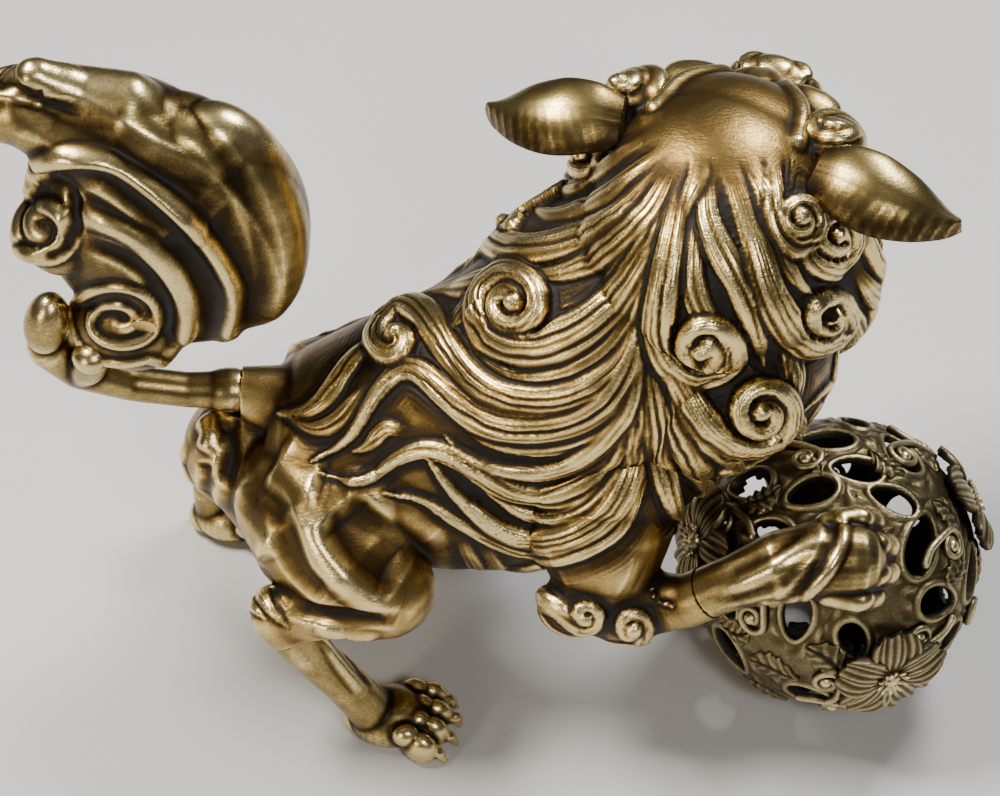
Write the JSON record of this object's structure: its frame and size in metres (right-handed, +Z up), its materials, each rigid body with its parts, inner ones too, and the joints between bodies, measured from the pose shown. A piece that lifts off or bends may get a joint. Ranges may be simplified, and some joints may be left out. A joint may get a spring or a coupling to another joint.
{
  "type": "foo dog statue",
  "caption": "Cast brass guardian lion striding with its head turned to its left, flowing mane, raised plume tail, and a forepaw on an openwork ball.",
  "frame": {"origin": "centre of the footprint box, on the surface the statue stands on", "axes": "+X from rump to chest along the body, +Y to the lion's left, the way its head is turned, +Z up"},
  "size_m": [0.3471, 0.149, 0.2575],
  "materials": {
    "polished_brass": "cast and polished, dark patina in the recesses",
    "patinated_brass": "cast, chased and part polished over dark patina",
    "pale_brass": "cast openwork, duller and greyer",
    "drawn_brass": "turned or filed flush",
    "dark_brass": "dark patinated"
  },
  "bodies": {
    "statue": {"ball_nut": "drawn_brass", "ball_stud": "drawn_brass", "ball_washer": "drawn_brass", "core_plug_crown": "dark_brass", "dowel_foreleg_left": "drawn_brass", "dowel_foreleg_right": "drawn_brass", "dowel_head_left": "drawn_brass", "dowel_head_right": "drawn_brass", "dowel_hindleg_left": "drawn_brass", "dowel_hindleg_right": "drawn_brass", "dowel_neck_left": "drawn_brass", "dowel_neck_right": "drawn_brass", "ear_left": "polished_brass", "ear_right": "polished_brass", "eye_left": "dark_brass", "eye_right": "dark_brass", "foreleg_left_lower": "polished_brass", "foreleg_right_lower": "polished_brass", "head_casting": "polished_brass", "hindleg_left_lower": "polished_brass", "hindleg_right_lower": "polished_brass", "mane_and_neck_casting": "patinated_brass", "torso_casting": "polished_brass"},
    "ball": {"ball_flower_back": "pale_brass", "ball_flower_front": "pale_brass", "ball_flower_rivet_back": "drawn_brass", "ball_flower_rivet_front": "drawn_brass", "ball_flower_rivet_side": "drawn_brass", "ball_flower_side": "pale_brass", "ball_lower_shell": "pale_brass", "ball_upper_shell": "pale_brass"},
    "tail": {"tail_stem": "polished_brass", "tail_plume": "polished_brass", "core_plug_tail": "drawn_brass"}
  },
  "joints": [
    {"name": "ball_turn", "type": "hinge", "parent": "statue", "child": "ball", "pos_m": [0.1186, -0.0185, 0.05], "axis": [0, -0.6428, 0.766], "continuous": true},
    {"name": "tail_lift_off", "type": "slide", "parent": "statue", "child": "tail", "axis": [-0.9982, 0, 0.0599], "range_m": [0, 0.025]}
  ]
}
